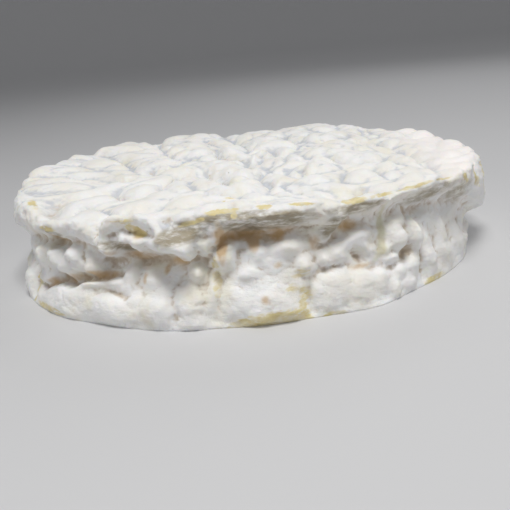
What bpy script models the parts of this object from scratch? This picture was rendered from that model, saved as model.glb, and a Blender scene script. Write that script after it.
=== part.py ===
"""A small soft-ripened cheese wheel with a folded white rind, uncut and lying on its flat base.

Metres, +Z up. Angles are in degrees round the wheel: 0 faces -Y and 90 faces +X. The body is a
turned profile. Its levels then wander round the wheel, and lumps, folds, grooves and wrinkles
are raised on the wall and on the top.
"""
import math

import bmesh
import bpy
import numpy as np

NAME = "cheese_wheel"

# Named levels of the wall, from the base up: each has a reach (radius) and a height
BASE_REACH = 0.0620
BELLY_REACH, BELLY_HEIGHT = 0.0628, 0.0046
WAIST_REACH, WAIST_HEIGHT = 0.0592, 0.0140
UNDER_REACH, UNDER_HEIGHT = 0.0596, 0.0188
EDGE_REACH, EDGE_HEIGHT = 0.0618, 0.0200
LIP_REACH, LIP_HEIGHT = 0.0630, 0.0232
RIM_REACH, RIM_HEIGHT = 0.0595, 0.0264
TOP_HEIGHT = 0.0268
TURN_STEPS = 360

# How each level wanders round the wheel: pairs of an angle and that level's value there
BASE_REACHES = (
    (-90, 0.0640), (-60, 0.0654), (-48, 0.0652), (-34, 0.0637), (-20, 0.0639), (-5, 0.0627),
    (12, 0.0624), (24, 0.0640), (37, 0.0617), (58, 0.0615), (75, 0.0604), (90, 0.0600),
    (130, 0.0614), (170, 0.0606), (215, 0.0618), (245, 0.0610))
BELLY_REACHES = (
    (-90, 0.0634), (-60, 0.0646), (-40, 0.0640), (-18, 0.0642), (-5, 0.0624), (8, 0.0618),
    (24, 0.0636), (38, 0.0618), (60, 0.0616), (75, 0.0604), (90, 0.0606), (130, 0.0622),
    (170, 0.0614), (215, 0.0626), (245, 0.0618))
WAIST_REACHES = (
    (-90, 0.0624), (-62, 0.0620), (-45, 0.0612), (-26, 0.0584), (-12, 0.0592), (2, 0.0598),
    (15, 0.0598), (35, 0.0604), (52, 0.0602), (75, 0.0592), (110, 0.0586), (150, 0.0580),
    (190, 0.0590), (235, 0.0584))
WAIST_HEIGHTS = (
    (-75, 0.0110), (-40, 0.0150), (-15, 0.0145), (20, 0.0150), (50, 0.0120), (76, 0.0064),
    (120, 0.0130), (180, 0.0140), (240, 0.0130))
UNDER_REACHES = (
    (-90, 0.0620), (-60, 0.0610), (-45, 0.0602), (-28, 0.0586), (-14, 0.0592), (-4, 0.0580),
    (12, 0.0588), (30, 0.0594), (50, 0.0596), (72, 0.0616), (110, 0.0594), (160, 0.0588),
    (220, 0.0594))
EDGE_REACHES = (
    (-90, 0.0634), (-55, 0.0630), (-41, 0.0622), (-33, 0.0624), (-26, 0.0616), (-16, 0.0632),
    (-9, 0.0620), (0, 0.0611), (10, 0.0611), (16, 0.0616), (24, 0.0604), (45, 0.0603),
    (60, 0.0626), (76, 0.0654), (110, 0.0620), (160, 0.0606), (220, 0.0614))
EDGE_HEIGHTS = (
    (-78, 0.0172), (-57, 0.0186), (-41, 0.0202), (-33, 0.0182), (-27, 0.0196), (-16, 0.0174),
    (-9, 0.0195), (-4, 0.0218), (12, 0.0212), (18, 0.0209), (28, 0.0212), (42, 0.0206),
    (58, 0.0176), (76, 0.0104), (100, 0.0155), (128, 0.0205), (150, 0.0185), (178, 0.0208),
    (205, 0.0180), (232, 0.0202), (262, 0.0170))
LIP_REACHES = (
    (-96, 0.0654), (-76, 0.0656), (-50, 0.0636), (-30, 0.0630), (-16, 0.0636), (0, 0.0634),
    (20, 0.0634), (42, 0.0632), (60, 0.0648), (74, 0.0662), (95, 0.0636), (130, 0.0620),
    (165, 0.0610), (200, 0.0612), (235, 0.0626))
LIP_HEIGHTS = (
    (-75, 0.0222), (-50, 0.0210), (-41, 0.0214), (-30, 0.0226), (-16, 0.0202), (-8, 0.0240),
    (2, 0.0250), (12, 0.0246), (18, 0.0236), (28, 0.0243), (45, 0.0236), (60, 0.0218),
    (74, 0.0190), (95, 0.0205), (130, 0.0238), (180, 0.0236), (230, 0.0240))
RIM_HEIGHTS = (
    (-98, 0.0272), (-70, 0.0264), (-54, 0.0242), (-40, 0.0242), (-27, 0.0254), (-12, 0.0262),
    (0, 0.0272), (14, 0.0262), (30, 0.0257), (55, 0.0252), (78, 0.0254), (97, 0.0250),
    (118, 0.0264), (142, 0.0278), (180, 0.0260), (200, 0.0280), (248, 0.0286))
LEVELS = (
    (0.0, BASE_REACH, None, BASE_REACHES),
    (BELLY_HEIGHT, BELLY_REACH, None, BELLY_REACHES),
    (WAIST_HEIGHT, WAIST_REACH, WAIST_HEIGHTS, WAIST_REACHES),
    (UNDER_HEIGHT, UNDER_REACH, EDGE_HEIGHTS, UNDER_REACHES),
    (EDGE_HEIGHT, EDGE_REACH, EDGE_HEIGHTS, EDGE_REACHES),
    (LIP_HEIGHT, LIP_REACH, LIP_HEIGHTS, LIP_REACHES),
    (RIM_HEIGHT, RIM_REACH, RIM_HEIGHTS, LIP_REACHES),
)

# Lumps on the wall: angle, height, half width, half height, how far they stand out, and tilt
LUMPS = (
    (-68.0, 0.0048, 0.0056, 0.0048, 0.0014, 0),
    (-67.0, 0.0140, 0.0060, 0.0034, 0.0014, 10),
    (-48.0, 0.0150, 0.0125, 0.0042, 0.0033, 5),
    (-56.5, 0.0134, 0.0060, 0.0034, 0.0024, 14),
    (-47.5, 0.0121, 0.0046, 0.0018, 0.0018, 14),
    (-45.0, 0.0172, 0.0033, 0.0019, 0.0014, 8),
    (-38.5, 0.0142, 0.0041, 0.0024, 0.0021, 12),
    (-38.5, 0.0096, 0.0045, 0.0014, 0.0018, 6),
    (-32.8, 0.0102, 0.0023, 0.0015, 0.0018, 0),
    (-29.0, 0.0096, 0.0021, 0.0014, 0.0015, -10),
    (-28.5, 0.0120, 0.0032, 0.0019, 0.0015, 10),
    (-22.6, 0.0110, 0.0027, 0.0022, 0.0019, 0),
    (-26.3, 0.0076, 0.0020, 0.0020, 0.0016, 0),
    (-27.5, 0.0149, 0.0020, 0.0014, 0.0011, 0),
    (-23.6, 0.0143, 0.0021, 0.0015, 0.0011, 0),
    (-45.0, 0.0032, 0.0150, 0.0047, 0.0014, 7),
    (-31.0, 0.0034, 0.0085, 0.0043, 0.0016, 0),
    (-20.5, 0.0058, 0.0038, 0.0062, 0.0014, 0),
    (-14.0, 0.0072, 0.0031, 0.0043, 0.0014, 0),
    (-13.5, 0.0020, 0.0036, 0.0023, 0.0012, 0),
    (-48.0, 0.0216, 0.0080, 0.0018, 0.0010, -4),
    (-32.5, 0.0187, 0.0021, 0.0016, 0.0020, 0),
    (-27.5, 0.0212, 0.0016, 0.0015, 0.0016, 20),
    (-24.5, 0.0198, 0.0022, 0.0009, 0.0016, 0),
    (-16.5, 0.0198, 0.0054, 0.0032, 0.0018, 0),
    (-14.5, 0.0186, 0.0027, 0.0017, 0.0030, 0),
    (-9.8, 0.0184, 0.0023, 0.0013, 0.0026, 6),
    (-12.1, 0.0132, 0.0021, 0.0030, 0.0026, -4),
    (-6.2, 0.0168, 0.0030, 0.0042, 0.0033, -8),
    (-9.0, 0.0095, 0.0013, 0.0046, 0.0011, 0),
    (1.2, 0.0096, 0.0096, 0.0096, 0.0017, 0),
    (2.0, 0.0040, 0.0092, 0.0046, 0.0024, 0),
    (1.2, 0.0166, 0.0027, 0.0023, 0.0021, 0),
    (6.8, 0.0170, 0.0035, 0.0029, 0.0025, 0),
    (9.6, 0.0126, 0.0025, 0.0025, 0.0024, 0),
    (-2.0, 0.0128, 0.0027, 0.0019, 0.0021, 20),
    (14.4, 0.0192, 0.0030, 0.0028, 0.0013, 0),
    (17.0, 0.0206, 0.0036, 0.0016, 0.0010, 32),
    (15.0, 0.0136, 0.0017, 0.0017, 0.0018, 0),
    (18.0, 0.0138, 0.0018, 0.0023, 0.0015, 0),
    (12.0, 0.0119, 0.0013, 0.0015, 0.0012, 0),
    (23.5, 0.0174, 0.0031, 0.0018, 0.0017, 10),
    (15.0, 0.0058, 0.0040, 0.0052, 0.0012, -4),
    (21.8, 0.0050, 0.0032, 0.0044, 0.0010, 8),
    (26.8, 0.0062, 0.0022, 0.0036, 0.0008, 16),
    (30.0, 0.0030, 0.0023, 0.0025, 0.0014, 30),
    (30.5, 0.0094, 0.0030, 0.0013, 0.0016, 5),
    (29.2, 0.0122, 0.0016, 0.0020, 0.0015, 0),
    (32.4, 0.0142, 0.0027, 0.0030, 0.0024, 25),
    (33.0, 0.0176, 0.0035, 0.0016, 0.0016, 18),
    (37.8, 0.0138, 0.0023, 0.0046, 0.0028, 4),
    (33.4, 0.0062, 0.0018, 0.0023, 0.0010, 0),
    (36.8, 0.0068, 0.0022, 0.0029, 0.0009, 0),
    (34.6, 0.0024, 0.0024, 0.0019, 0.0009, 0),
    (42.6, 0.0080, 0.0026, 0.0064, 0.0013, 10),
    (43.5, 0.0030, 0.0034, 0.0024, 0.0007, 20),
    (49.4, 0.0096, 0.0030, 0.0070, 0.0014, 16),
    (52.0, 0.0038, 0.0040, 0.0032, 0.0007, 10),
    (57.6, 0.0082, 0.0036, 0.0066, 0.0012, 14),
    (66.0, 0.0072, 0.0042, 0.0058, 0.0011, 10),
    (75.0, 0.0060, 0.0042, 0.0048, 0.0008, 6),
    (46.0, 0.0172, 0.0056, 0.0022, 0.0008, 24),
    (58.0, 0.0160, 0.0062, 0.0028, 0.0008, 28),
)

# Folds on the wall: points of an angle and a height, then half width and how far they stand out
WALL_FOLDS = (
    (((18.5, 0.0112), (19.3, 0.0150), (21.6, 0.0162), (24.5, 0.0150), (26.4, 0.0116)),
     0.0014, 0.0018),
)
# Folds and grooves that run over the rim, given the same way
RIM_FOLDS = (
    (((-31.2, 0.0180), (-31.9, 0.0208), (-30.7, 0.0234), (-28.6, 0.0247), (-24.0, 0.0253),
      (-20.4, 0.0245), (-18.6, 0.0225), (-17.6, 0.0195)), 0.0011, 0.0024),
    (((-57.5, 0.0190), (-53, 0.0214), (-47.3, 0.0225), (-41.5, 0.0231), (-36.8, 0.0224),
      (-34.6, 0.0208), (-33.2, 0.0184)), 0.0013, 0.0013),
    (((-16, 0.0256), (-10.6, 0.0270), (-6, 0.0279), (0, 0.0280), (5.7, 0.0272), (10.5, 0.0262),
      (18.8, 0.0252), (30, 0.0251), (45, 0.0249), (56, 0.0232)), 0.0009, 0.0008),
)
RIM_GROOVES = (
    (((-66, 0.0286), (-60, 0.0266), (-55, 0.0253), (-50, 0.0247), (-44, 0.0247)), 0.0012, 0.0024),
    (((-33.6, 0.0212), (-34.0, 0.0236), (-32.6, 0.0258), (-31.0, 0.0278)), 0.0009, 0.0016),
    (((-17.2, 0.0232), (-16.8, 0.0252), (-17.4, 0.0276)), 0.0009, 0.0010),
    (((-24.5, 0.0222), (-27.5, 0.0226), (-29.2, 0.0214)), 0.0010, 0.0012),
)
# Grooves in the wall: points of an angle and a height, then half width and depth
WALL_GROOVES = (
    (((-61, 0.0036), (-55, 0.0066), (-49, 0.0086), (-44, 0.0100), (-38, 0.0112),
      (-32, 0.0118)), 0.0011, 0.0046),
    (((-37, 0.0071), (-33, 0.0083), (-29.7, 0.0086), (-26.5, 0.0080)), 0.0011, 0.0028),
    (((-62.5, 0.0), (-63, 0.0040), (-62, 0.0080), (-60, 0.0115)), 0.0009, 0.0018),
    (((-17.2, 0.0), (-17, 0.0060), (-18.5, 0.0120)), 0.0009, 0.0006),
    (((-8.4, 0.0), (-8.2, 0.0060), (-7.8, 0.0120), (-7.9, 0.0200)), 0.0011, 0.0008),
    (((-3.6, 0.0180), (-3.3, 0.0156), (-4.6, 0.0130)), 0.0006, 0.0007),
    (((11.0, 0.0), (11.0, 0.0040), (10.6, 0.0085)), 0.0006, 0.0012),
    (((12.5, 0.0112), (19, 0.0106), (24, 0.0094), (29, 0.0083), (35, 0.0086)),
     0.0008, 0.0010),
    (((11.4, 0.0206), (12.6, 0.0180), (14.4, 0.0160), (16.5, 0.0172), (19.8, 0.0200)),
     0.0007, 0.0010),
    (((39.2, 0.0), (39.5, 0.0050), (39.2, 0.0095)), 0.0006, 0.0015),
)
# Hollows in the wall: angle, height, half width, half height and depth
HOLLOWS = (
    (-33.5, 0.0146, 0.0032, 0.0024, 0.0024),
    (-50.5, 0.0178, 0.0042, 0.0014, 0.0024),
    (-53.5, 0.0138, 0.0018, 0.0022, 0.0020),
    (-46.4, 0.0160, 0.0015, 0.0024, 0.0026),
    (-41.0, 0.0158, 0.0013, 0.0022, 0.0020),
    (-43.8, 0.0134, 0.0026, 0.0010, 0.0014),
    (-23.5, 0.0164, 0.0095, 0.0016, 0.0022),
    (-24.8, 0.0222, 0.0030, 0.0013, 0.0022),
    (-50.0, 0.0184, 0.0080, 0.0010, 0.0010),
    (-1.0, 0.0206, 0.0075, 0.0009, 0.0016),
    (22.3, 0.0120, 0.0014, 0.0013, 0.0018),
    (22.8, 0.0195, 0.0028, 0.0010, 0.0014),
    (39.0, 0.0192, 0.0070, 0.0012, 0.0014),
    (54.0, 0.0186, 0.0080, 0.0014, 0.0014),
    (35.0, 0.0104, 0.0016, 0.0014, 0.0014),
)

# Grooves in the top: points in X and Y, then half width and depth
TOP_GROOVES = (
    (((-0.058, 0.004), (-0.052, 0.002), (-0.046, -0.006), (-0.038, -0.008), (-0.032, -0.013),
      (-0.027, 0.004), (-0.021, 0.001), (-0.017, 0.011), (-0.011, 0.011)), 0.0019, 0.0020),
    (((-0.048, -0.025), (-0.041, -0.025), (-0.034, -0.022), (-0.030, -0.031), (-0.023, -0.028),
      (-0.018, -0.013), (-0.012, -0.010), (-0.008, -0.022), (-0.004, -0.033), (0.001, -0.037),
      (0.005, -0.035)), 0.0018, 0.0021),
    (((-0.043, -0.042), (-0.041, -0.036), (-0.034, -0.040), (-0.030, -0.048), (-0.023, -0.049),
      (-0.018, -0.042), (-0.012, -0.039), (-0.006, -0.044), (0.000, -0.049)), 0.0016, 0.0019),
    (((-0.053, 0.030), (-0.047, 0.031), (-0.039, 0.021), (-0.034, 0.010), (-0.030, -0.003)),
     0.0018, 0.0017),
    (((-0.035, 0.040), (-0.031, 0.052), (-0.024, 0.022), (-0.020, 0.006)), 0.0019, 0.0018),
    (((-0.006, 0.063), (-0.005, 0.050), (-0.001, 0.040), (0.001, 0.022), (0.001, 0.002)),
     0.0022, 0.0019),
    (((-0.012, 0.010), (-0.009, 0.015), (-0.005, 0.006), (0.000, 0.003), (0.001, -0.010),
      (0.002, -0.020)), 0.0017, 0.0017),
    (((0.004, -0.012), (0.004, 0.006), (0.008, 0.012), (0.011, -0.001), (0.010, -0.015)),
     0.0016, 0.0018),
    (((0.004, -0.012), (0.006, -0.020), (0.009, -0.024), (0.012, -0.020), (0.015, -0.031),
      (0.021, -0.032)), 0.0016, 0.0017),
    (((0.004, -0.012), (0.004, -0.025), (0.005, -0.039), (0.006, -0.052)), 0.0015, 0.0016),
    (((0.005, -0.041), (0.008, -0.037), (0.011, -0.046), (0.017, -0.050), (0.022, -0.052),
      (0.026, -0.049), (0.030, -0.055), (0.035, -0.054), (0.041, -0.050)), 0.0015, 0.0018),
    (((0.014, 0.047), (0.013, 0.030), (0.016, 0.017), (0.015, -0.002)), 0.0018, 0.0016),
    (((0.016, 0.017), (0.023, 0.012), (0.030, 0.016), (0.038, 0.014), (0.043, 0.004),
      (0.046, -0.012), (0.047, -0.030), (0.045, -0.044)), 0.0022, 0.0018),
    (((0.013, -0.009), (0.016, -0.013), (0.021, -0.007), (0.026, -0.014), (0.033, -0.017),
      (0.039, -0.023), (0.045, -0.030)), 0.0017, 0.0017),
    (((0.019, -0.024), (0.027, -0.023), (0.031, -0.027), (0.034, -0.034), (0.034, -0.044)),
     0.0016, 0.0016),
    (((0.039, 0.044), (0.040, 0.032), (0.041, 0.018)), 0.0020, 0.0014),
    (((-0.012, -0.0520), (-0.008, -0.0512), (-0.003, -0.0505), (0.003, -0.0520),
      (0.012, -0.0530)), 0.0009, 0.0012),
)
# How much deeper and how sharp the grooves are, and how far noise bends them
TOP_GROOVE_DEPTH, TOP_GROOVE_POWER = 1.75, 1.15
TOP_BEND_LENGTH, TOP_BEND = 0.0130, 0.0008
# Towards the right rim the top loses this share of its wrinkles, from here on and fully from
# there, and gets wider swells in their place
SMOOTH_FROM, SMOOTH_TO, SMOOTH_SHARE = 0.043, 0.052, 0.8
EDGE_SWELL_LENGTH, EDGE_SWELL_RAISE = 0.0150, 0.0015

# The top's wrinkles lose this share of their height towards the back rim
BACK_RIM_FROM, BACK_RIM_TO, BACK_RIM_SHARE = 0.034, 0.056, 0.4

# Unseen wall: rows of lumps from one angle to another, with the same sizes as the seen ones
BACK_START, BACK_END = 82.0, 286.0
BACK_ROWS = (
    (0.0050, 7.6, 0.0046, 0.0048),
    (0.0120, 8.2, 0.0042, 0.0032),
    (0.0175, 9.0, 0.0050, 0.0022),
)
BACK_RAISE = (0.0010, 0.0022)
BACK_SEED = 11

# Wrinkles of the top: pillows between winding valleys, drawn out along X on the left
PILLOW_LENGTH, PILLOW_RAISE = 0.0200, 0.0016
DIMPLE_LENGTH, DIMPLE_RAISE = 0.0100, 0.0008
DRAWN_OUT_FROM, DRAWN_OUT_BY = -0.018, 2.1
SWELL_LENGTH, SWELL_RAISE = 0.052, 0.0005
# The plain drum that heights of spots and lines are measured on, and the slope of that view
DRUM_REACH, VIEW_SLOPE = 0.0625, 0.30
# Finer lumps of the wall, and how far noise bends the outlines of the named ones
WALL_LENGTH, WALL_RAISE = 0.0110, 0.0004
BEND_LENGTH, BEND = 0.0090, 0.0006
WALL_SINK = 0.0009
# Between these heights the wall's relief dies out towards the rim
WALL_END = (0.0225, 0.0262)
# How fast a lump falls off, and how sharply it meets its neighbours (more is sharper)
LUMP_FALL, LUMP_MELT = 1.10, 3.2
LUMP_RAISE = 1.2

# Shortest and longest wave of a noise, as shares of its named length
WAVE_SPREAD = (0.72, 1.45)

# Voxel size of the remeshed stages, the final number of triangles and the base cut
VOXEL = 0.0009
TRIANGLES = 11200
BASE_CUT = 0.0004

RIND_COLOUR = (0.80, 0.78, 0.73, 1.0)
RIND_ROUGHNESS = 0.85
ARC = math.radians(1) * BELLY_REACH


def clear_scene():
    for item in list(bpy.data.objects):
        bpy.data.objects.remove(item, do_unlink=True)


def ease(value, low, high):
    """0 below low, 1 above high, smooth between; low may be the larger one."""
    t = np.clip((value - low) / (high - low), 0, 1)
    return t * t * (3 - 2 * t)


def around(pairs, angle):
    """A level's value at each angle, eased from one pair to the next and closed over a turn."""
    angles, values = np.array(pairs + ((pairs[0][0] + 360, pairs[0][1]),)).T
    angle = (angle - angles[0]) % 360 + angles[0]
    i = np.clip(np.searchsorted(angles, angle, side="right") - 1, 0, len(angles) - 2)
    share = ease(angle, angles[i], angles[i + 1])
    return values[i] * (1 - share) + values[i + 1] * share


def waves(points, length, seed, count=36):
    """Smooth random heights of about -1 to 1, from plane waves of nearly one length."""
    random = np.random.default_rng(seed)
    directions = random.normal(size=(count, points.shape[1]))
    directions /= np.linalg.norm(directions, axis=1, keepdims=True)
    lengths = length * random.uniform(*WAVE_SPREAD, size=(count, 1))
    phases = random.uniform(0, 2 * math.pi, count)
    sums = np.cos(points @ (2 * math.pi * directions / lengths).T + phases).sum(axis=1)
    return sums / math.sqrt(count)


def pillows(points, length, seed):
    """0 in winding valleys and about 1 on the rounded cells between them."""
    return np.clip(np.abs(waves(points, length, seed)) / 0.8, 0, 1.6) ** 0.6


def line_height(places, lines, power=2.0):
    """Height of the highest line at each place; every line fades out towards its ends.

    The power shapes the cross-section: 2 gives a rounded one and less a sharper one.
    """
    highest = np.zeros(len(places))
    for path, half_width, stand_out in lines:
        path = np.array(path)
        count = len(path) - 1
        for i in range(count):
            step = path[i + 1] - path[i]
            share = np.clip((places - path[i]) @ step / (step @ step), 0, 1)
            gap = np.linalg.norm(places - path[i] - share[:, None] * step, axis=1)
            fade = np.sin(np.clip((i + share) / count, 0.04, 0.96) * math.pi) ** 0.5
            highest = np.maximum(highest, stand_out * fade * np.exp(-(gap / half_width) ** power))
    return highest


def line_on_wall(angle, height, lines):
    """The same for lines on the wall, whose points are an angle and a height."""
    wall = np.stack([angle * ARC, height], axis=1)
    flat_lines = [([(a * ARC, z) for a, z in path], width, rise) for path, width, rise in lines]
    return line_height(wall, flat_lines)


def turn_from(angle, centre):
    """Distance along the wall from a centre angle, the short way round."""
    return ((angle - centre + 180) % 360 - 180) * ARC


def spot_reach(angle, height, spot):
    """Squared distance from an oval spot's middle, 1 at its outline."""
    centre, level, half_width, half_height, _, tilt = spot
    along, up = turn_from(angle, centre), height - level
    c, s = math.cos(math.radians(tilt)), math.sin(math.radians(tilt))
    return ((along * c + up * s) / half_width) ** 2 + ((up * c - along * s) / half_height) ** 2


def lump_height(angle, height, lumps):
    """Height of the lumps at each place on the wall, each one melting into its neighbours."""
    total = np.zeros_like(height)
    for lump in lumps:
        rise = LUMP_RAISE * lump[4] * np.exp(-(LUMP_FALL * spot_reach(angle, height, lump)) ** 1.5)
        total += rise ** LUMP_MELT
    return total ** (1 / LUMP_MELT)


def hollow_depth(angle, height, hollows):
    """Depth of all hollows together at each place on the wall."""
    depth = np.zeros_like(height)
    for centre, level, half_width, half_height, deepest in hollows:
        reach = (turn_from(angle, centre) / half_width) ** 2 + ((height - level) / half_height) ** 2
        depth += deepest * np.exp(-reach)
    return depth


def back_lumps():
    """Lumps of the unseen side, in rows, each one a little off its place and size."""
    random = np.random.default_rng(BACK_SEED)
    lumps = []
    for level, spacing, half_width, half_height in BACK_ROWS:
        for centre in np.arange(BACK_START, BACK_END, spacing):
            lumps.append((
                centre + random.uniform(-0.3, 0.3) * spacing,
                level + random.uniform(-0.0014, 0.0014),
                half_width * random.uniform(0.75, 1.35),
                half_height * random.uniform(0.75, 1.25),
                random.uniform(*BACK_RAISE),
                random.uniform(-40, 40)))
    return tuple(lumps)


def turned_body(collection):
    """The plain wheel: a closed profile from the top's centre down the wall to the base's centre."""
    profile = (
        (0.0, TOP_HEIGHT), (0.030, TOP_HEIGHT), (0.050, TOP_HEIGHT), (RIM_REACH, RIM_HEIGHT),
        (0.0616, 0.0254), (LIP_REACH, LIP_HEIGHT), (0.0628, 0.0214), (EDGE_REACH, EDGE_HEIGHT),
        (0.0606, 0.0192), (UNDER_REACH, UNDER_HEIGHT), (0.0592, 0.0168),
        (WAIST_REACH, WAIST_HEIGHT), (0.0604, 0.0100), (0.0622, 0.0070),
        (BELLY_REACH, BELLY_HEIGHT), (0.0627, 0.0024), (0.0623, 0.0006),
        (BASE_REACH, 0.0), (0.030, 0.0), (0.0, 0.0))
    mesh = bpy.data.meshes.new(NAME)
    shape = bmesh.new()
    corners = [shape.verts.new((reach, 0, height)) for reach, height in profile]
    for first, second in zip(corners, corners[1:]):
        shape.edges.new((first, second))
    shape.to_mesh(mesh)
    shape.free()
    wheel = bpy.data.objects.new(NAME, mesh)
    collection.objects.link(wheel)
    screw = wheel.modifiers.new("turn", "SCREW")
    screw.steps = TURN_STEPS
    screw.render_steps = TURN_STEPS
    screw.use_merge_vertices = True
    screw.merge_threshold = 0.00001
    apply_modifiers(wheel)
    return wheel


def apply_modifiers(item):
    evaluated = item.evaluated_get(bpy.context.evaluated_depsgraph_get())
    mesh = bpy.data.meshes.new_from_object(evaluated)
    old_mesh = item.data
    item.modifiers.clear()
    item.data = mesh
    bpy.data.meshes.remove(old_mesh)
    mesh.name = NAME


def remesh(item, voxel):
    modifier = item.modifiers.new("even_mesh", "REMESH")
    modifier.mode = "VOXEL"
    modifier.voxel_size = voxel
    apply_modifiers(item)


def soften(item, factor, times):
    modifier = item.modifiers.new("soften", "SMOOTH")
    modifier.factor = factor
    modifier.iterations = times
    apply_modifiers(item)


def thin_out(item, triangles):
    modifier = item.modifiers.new("fewer_faces", "DECIMATE")
    item.data.calc_loop_triangles()
    modifier.ratio = min(1.0, triangles / len(item.data.loop_triangles))
    apply_modifiers(item)


def read_mesh(mesh):
    """Places and normals of all vertices as two arrays."""
    places = np.empty(len(mesh.vertices) * 3)
    normals = np.empty(len(mesh.vertices) * 3)
    mesh.vertices.foreach_get("co", places)
    mesh.vertices.foreach_get("normal", normals)
    return places.reshape(-1, 3), normals.reshape(-1, 3)


def write_mesh(mesh, places):
    mesh.vertices.foreach_set("co", places.ravel())
    mesh.update()


def angle_of(places):
    return np.degrees(np.arctan2(places[:, 0], -places[:, 1]))


def drum_height(places):
    """Height at which a view from above the front sees each place against a plain drum.

    Heights of spots and lines are given this way, so that hollow and bulging parts keep them.
    """
    return places[:, 2] + VIEW_SLOPE * (DRUM_REACH - np.hypot(places[:, 0], places[:, 1]))


def wander_levels(mesh):
    """Move the levels of the turned body to where they lie at each angle."""
    places, _ = read_mesh(mesh)
    angle = angle_of(places)
    reach = np.hypot(places[:, 0], places[:, 1])
    level_heights = [height for height, _, _, _ in LEVELS]
    move_out = np.zeros_like(angle)
    move_up = np.zeros_like(angle)
    for i, (level_height, level_reach, heights, reaches) in enumerate(LEVELS):
        weight = np.interp(places[:, 2], level_heights, np.eye(len(LEVELS))[i])
        own_reach = LIP_REACH if reaches is LIP_REACHES else level_reach
        move_out += weight * (around(reaches, angle) - own_reach)
        if heights:
            move_up += weight * (around(heights, angle) - own_height(heights, level_height))
    near_wall = ease(reach, 0.36 * BELLY_REACH, 0.92 * BELLY_REACH)
    scale = 1 + near_wall * move_out / np.maximum(reach, 0.001)
    places[:, 0] *= scale
    places[:, 1] *= scale
    places[:, 2] += near_wall * move_up
    write_mesh(mesh, places)


def own_height(heights, level_height):
    """The height that a list of heights replaces: the face under the lip follows the lip's edge."""
    return EDGE_HEIGHT if heights is EDGE_HEIGHTS else level_height


def wall_relief(places):
    """How far the wall stands out at each place, from lumps, folds, hollows and grooves."""
    bend = [BEND * waves(places, BEND_LENGTH, seed) for seed in (31, 32)]
    angle = angle_of(places) + bend[0] / ARC
    height = drum_height(places) + bend[1]
    relief = lump_height(angle, height, LUMPS + back_lumps())
    relief = np.maximum(relief, line_on_wall(angle, height, WALL_FOLDS))
    relief += WALL_RAISE * (pillows(places, WALL_LENGTH, 33) - 0.8) - WALL_SINK
    relief -= hollow_depth(angle, height, HOLLOWS)
    return relief - line_on_wall(angle, height, WALL_GROOVES)


def top_relief(places):
    """How far the top stands up at each place: pillows, long ones on the left, and grooves."""
    flat = places[:, :2].copy()
    drawn = flat.copy()
    left = flat[:, 0] < DRAWN_OUT_FROM
    drawn[left, 0] = DRAWN_OUT_FROM + (flat[left, 0] - DRAWN_OUT_FROM) / DRAWN_OUT_BY
    relief = PILLOW_RAISE * (pillows(drawn, PILLOW_LENGTH, 41) - 0.8)
    relief += DIMPLE_RAISE * (pillows(drawn, DIMPLE_LENGTH, 43) - 0.8)
    smooth = ease(flat[:, 0], SMOOTH_FROM, SMOOTH_TO)
    relief *= 1 - SMOOTH_SHARE * smooth
    relief *= 1 - BACK_RIM_SHARE * ease(flat[:, 1], BACK_RIM_FROM, BACK_RIM_TO)
    relief += smooth * EDGE_SWELL_RAISE * (pillows(flat, EDGE_SWELL_LENGTH, 46) - 0.8)
    relief += SWELL_RAISE * waves(flat, SWELL_LENGTH, 42)
    bend = np.stack([TOP_BEND * waves(flat, TOP_BEND_LENGTH, seed) for seed in (44, 45)], axis=1)
    return relief - TOP_GROOVE_DEPTH * line_height(flat + bend, TOP_GROOVES, TOP_GROOVE_POWER)


def raise_relief(mesh):
    places, normals = read_mesh(mesh)
    on_top = ease(normals[:, 2], 0.35, 0.85)
    off_base = ease(places[:, 2], 0.0004, 0.0020)
    angle, height = angle_of(places), drum_height(places)
    on_wall = (1 - on_top) * off_base * (1 - ease(height, *WALL_END))
    relief = on_top * top_relief(places) + on_wall * wall_relief(places)
    relief += line_on_wall(angle, height, RIM_FOLDS) - line_on_wall(angle, height, RIM_GROOVES)
    write_mesh(mesh, places + normals * relief[:, None])


def flatten_base(mesh):
    """Cut the underside off level, close it with one flat face and set it at height zero."""
    shape = bmesh.new()
    shape.from_mesh(mesh)
    everything = shape.verts[:] + shape.edges[:] + shape.faces[:]
    bmesh.ops.bisect_plane(
        shape, geom=everything, plane_co=(0, 0, BASE_CUT), plane_no=(0, 0, 1), clear_inner=True)
    rim = [edge for edge in shape.edges if edge.is_boundary]
    bmesh.ops.holes_fill(shape, edges=rim)
    bmesh.ops.translate(shape, verts=shape.verts[:], vec=(0, 0, -BASE_CUT))
    for vertex in shape.verts:
        if vertex.co.z < BASE_CUT / 4:
            vertex.co.z = 0.0
    bmesh.ops.triangulate(shape, faces=shape.faces[:])
    bmesh.ops.recalc_face_normals(shape, faces=shape.faces[:])
    shape.to_mesh(mesh)
    shape.free()


def centre_box(mesh):
    """Put the middle of the box, in X and Y, over the origin."""
    places, _ = read_mesh(mesh)
    middle = (places.min(axis=0) + places.max(axis=0)) / 2
    places[:, :2] -= middle[:2]
    write_mesh(mesh, places)


def rind_material():
    material = bpy.data.materials.new("white_rind")
    material.use_nodes = True
    shader = material.node_tree.nodes["Principled BSDF"]
    shader.inputs["Base Color"].default_value = RIND_COLOUR
    shader.inputs["Roughness"].default_value = RIND_ROUGHNESS
    shader.inputs["Metallic"].default_value = 0.0
    return material


def build():
    clear_scene()
    collection = bpy.data.collections.new(NAME)
    bpy.context.scene.collection.children.link(collection)
    wheel = turned_body(collection)
    wander_levels(wheel.data)
    remesh(wheel, VOXEL)
    soften(wheel, 0.5, 2)
    raise_relief(wheel.data)
    remesh(wheel, VOXEL)
    soften(wheel, 0.5, 1)
    thin_out(wheel, TRIANGLES)
    flatten_base(wheel.data)
    centre_box(wheel.data)
    wheel.data.materials.clear()
    wheel.data.materials.append(rind_material())
    wheel.data.shade_smooth()


build()
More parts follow.
